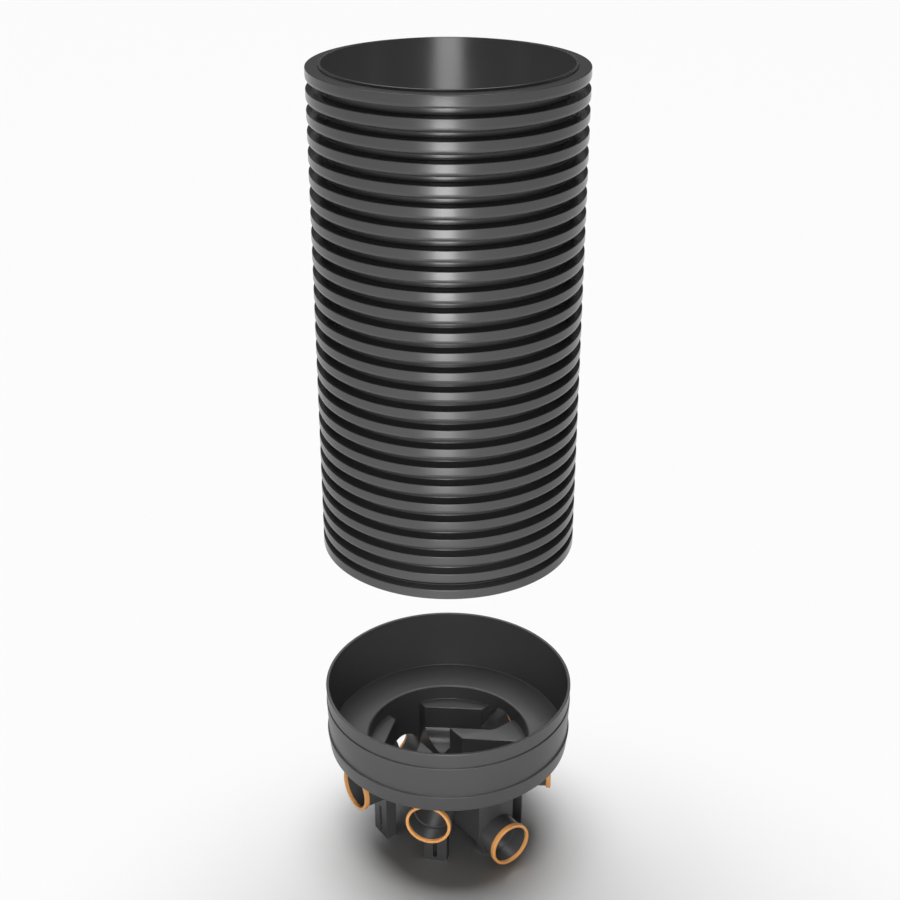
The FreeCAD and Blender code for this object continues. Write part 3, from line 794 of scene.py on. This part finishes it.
FINISHES = {
    "shaft_plastic": plastic(
        "shaft_plastic", colour=(0.045, 0.045, 0.046), roughness=0.23,
        grain=500, grain_depth=0.04 * MM, mottle=0.06
    ),
    "base_plastic": plastic(
        "base_plastic", colour=(0.046, 0.046, 0.047), roughness=0.36,
        grain=900, grain_depth=0.15 * MM, mottle=0.06
    ),
    "cap_plastic": plastic(
        "cap_plastic", colour=(0.54, 0.25, 0.076), roughness=0.42,
        grain=900, grain_depth=0.1 * MM, mottle=0.05
    ),
    "seal_rubber": plastic(
        "seal_rubber", colour=(0.012, 0.012, 0.012), roughness=0.6,
        grain=700, grain_depth=0.1 * MM, mottle=0.1
    ),
}
print("finishes:", ", ".join(FINISHES))

# %% [markdown]
# ## Dressing the pieces
# Each piece gets its finish, rides on the body that it moves with, and stands for the solids
# that it covers. A flat face beside a soft edge would look bent if every normal were a plain
# mean, so a Weighted Normal modifier lets the large faces set them.

# %% Dress the pieces
def even_shading(piece):
    """Let large faces set the normals, so that a flat face stays flat beside a rounded edge."""
    pick(piece)
    bpy.ops.object.shade_smooth_by_angle(angle=SMOOTH_BELOW)
    weighted = piece.modifiers.new("even_shading", "WEIGHTED_NORMAL")
    weighted.keep_sharp = True
    bpy.ops.object.modifier_apply(modifier=weighted.name)


def dress(piece, finish, body, *nodes):
    """Give a piece its finish, tie it to its body and let it stand for its solids."""
    even_shading(piece)
    piece.data.materials.clear()
    piece.data.materials.append(FINISHES[finish])
    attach(piece, body)
    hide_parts(*nodes)


bench_nodes = ["bench_plate", "main_invert", "main_left_wall", "main_right_wall"]
bench_nodes += ["inlet_end_wall", "outlet_end_wall"]
for side in SIDES:
    bench_nodes += [f"near_{side}_channel", f"side_{side}_channel"]
dress(shaft_wall, "shaft_plastic", "shaft", "riser_shaft")
dress(shaft_ring, "seal_rubber", "shaft", "shaft_seal")
dress(cup_wall, "base_plastic", "base", "shaft_cup")
dress(bench, "base_plastic", "base", *bench_nodes)
for socket_name in SOCKETS:
    dress(feet[socket_name], "base_plastic", "base", socket_name + "_foot")
    dress(sockets[socket_name], "base_plastic", "base", socket_name + "_socket")
    dress(caps[socket_name], "cap_plastic", "base", socket_name + "_cap")
    dress(rings[socket_name], "seal_rubber", "base", socket_name + "_seal")

# %% [markdown]
# ## The floor
# The object stands on a wide pale floor, nearly white in the picture. The Standard view keeps
# that white, where a filmic one would grey it. From here on, lengths are in metres.

# %% Floor
bpy.context.scene.view_settings.view_transform = "Standard"
bpy.ops.object.select_all(action="DESELECT")
bpy.ops.mesh.primitive_plane_add(size=400)
floor = bpy.context.object
floor.name = "floor"
pale = bpy.data.materials.new("pale_floor")
pale.use_nodes = True
pale_shader = pale.node_tree.nodes["Principled BSDF"]
pale_shader.inputs["Base Color"].default_value = (0.89, 0.89, 0.89, 1)
pale_shader.inputs["Roughness"].default_value = 0.9
pale_shader.inputs["Specular IOR Level"].default_value = 0.1
floor.data.materials.append(pale)
print("floor across, in metres:", round(floor.dimensions.x))

# %% [markdown]
# ## High soft light
# One broad shadow lies round the feet, so the main light is high and wide. A large area light
# would do, but it fades with distance over such a tall object. A sun with a wide angle doesn't,
# and a dim white world keeps the shadow from going black.

# %% Sun and world
world = bpy.data.worlds.new("studio")
bpy.context.scene.world = world
world.use_nodes = True
background = world.node_tree.nodes["Background"]
background.inputs["Color"].default_value = (1, 1, 1, 1)
background.inputs["Strength"].default_value = 0.09

bpy.ops.object.light_add(type="SUN", location=(0, 0, 6))
overhead = bpy.context.object
overhead.name = "overhead_light"
overhead.data.energy = 3.4
overhead.data.angle = math.radians(53)
overhead.rotation_euler = (math.radians(-21), math.radians(-4), 0)
print("overhead light, in watts per square metre:", round(overhead.data.energy, 1))

# %% [markdown]
# ## Studio panels
# What makes dark satin plastic readable is what it mirrors. Two upright strips and a wide panel
# in front draw the bright band down the crests, and a strip in the shaft's mouth draws it down
# the liner. A high key panel and a small one over the bowl bring out the base. The floor is left
# out of their light, so that it stays evenly white.

# %% Panels
off_floor = bpy.data.collections.new("floor_in_shadow")
off_floor.objects.link(floor)
off_floor.collection_objects[0].light_linking.link_state = "EXCLUDE"


def panel(name, place, width, height, energy, tilt=90):
    """A lit rectangle that the camera doesn't see; it shines down at tilt 0, towards +Y at 90."""
    bpy.ops.object.light_add(type="AREA", location=place)
    light = bpy.context.object
    light.name = name
    light.data.shape = "RECTANGLE"
    light.data.size = width
    light.data.size_y = height
    light.data.energy = energy
    light.rotation_euler = (math.radians(tilt), 0, 0)
    light.visible_camera = False
    light.light_linking.receiver_collection = off_floor
    print(f"{name}: {width} x {height} m, {energy} W")
    return light


panel("front_strip", (-0.128, -2.5, 1.3), width=0.695, height=0.9, energy=29)
panel("low_strip", (-0.128, -2.5, 0.47), width=0.695, height=0.75, energy=7)
panel("front_panel", (-0.11, -2.52, 0.9), width=1.62, height=1.7, energy=24)
panel("mouth_strip", (0, -0.25, 2.08), width=0.17, height=0.44, energy=2.0)
panel("key_panel", (-0.3, -3.3, 3.4), width=1.2, height=0.9, energy=14, tilt=45)
bowl_light = panel("bowl_light", (0, -0.9, 1.35), width=0.5, height=0.25, energy=0.85, tilt=38)
bowl_light.data.spread = math.radians(50)

# %% [markdown]
# ## The camera
# The camera looks down far enough to show the bowl and the shaft's mouth at once. It could be
# placed by eye. Its place and lens were fitted to the ellipses of the shaft's rings instead, so
# that the scene overlays the picture. Small shifts centre it.

# %% Camera
LOOKS_DOWN = 25.715
bpy.ops.object.camera_add(location=(0, -3.4899, 2.9364))
camera = bpy.context.object
camera.name = "camera"
camera.rotation_euler = (math.radians(90 - LOOKS_DOWN), 0, 0)
camera.data.sensor_width = 36
camera.data.lens = 58.314
camera.data.shift_x = 0.0019
camera.data.shift_y = -0.0151
bpy.context.scene.camera = camera
print("field of view in degrees:", round(math.degrees(camera.data.angle), 1))

# %% [markdown]
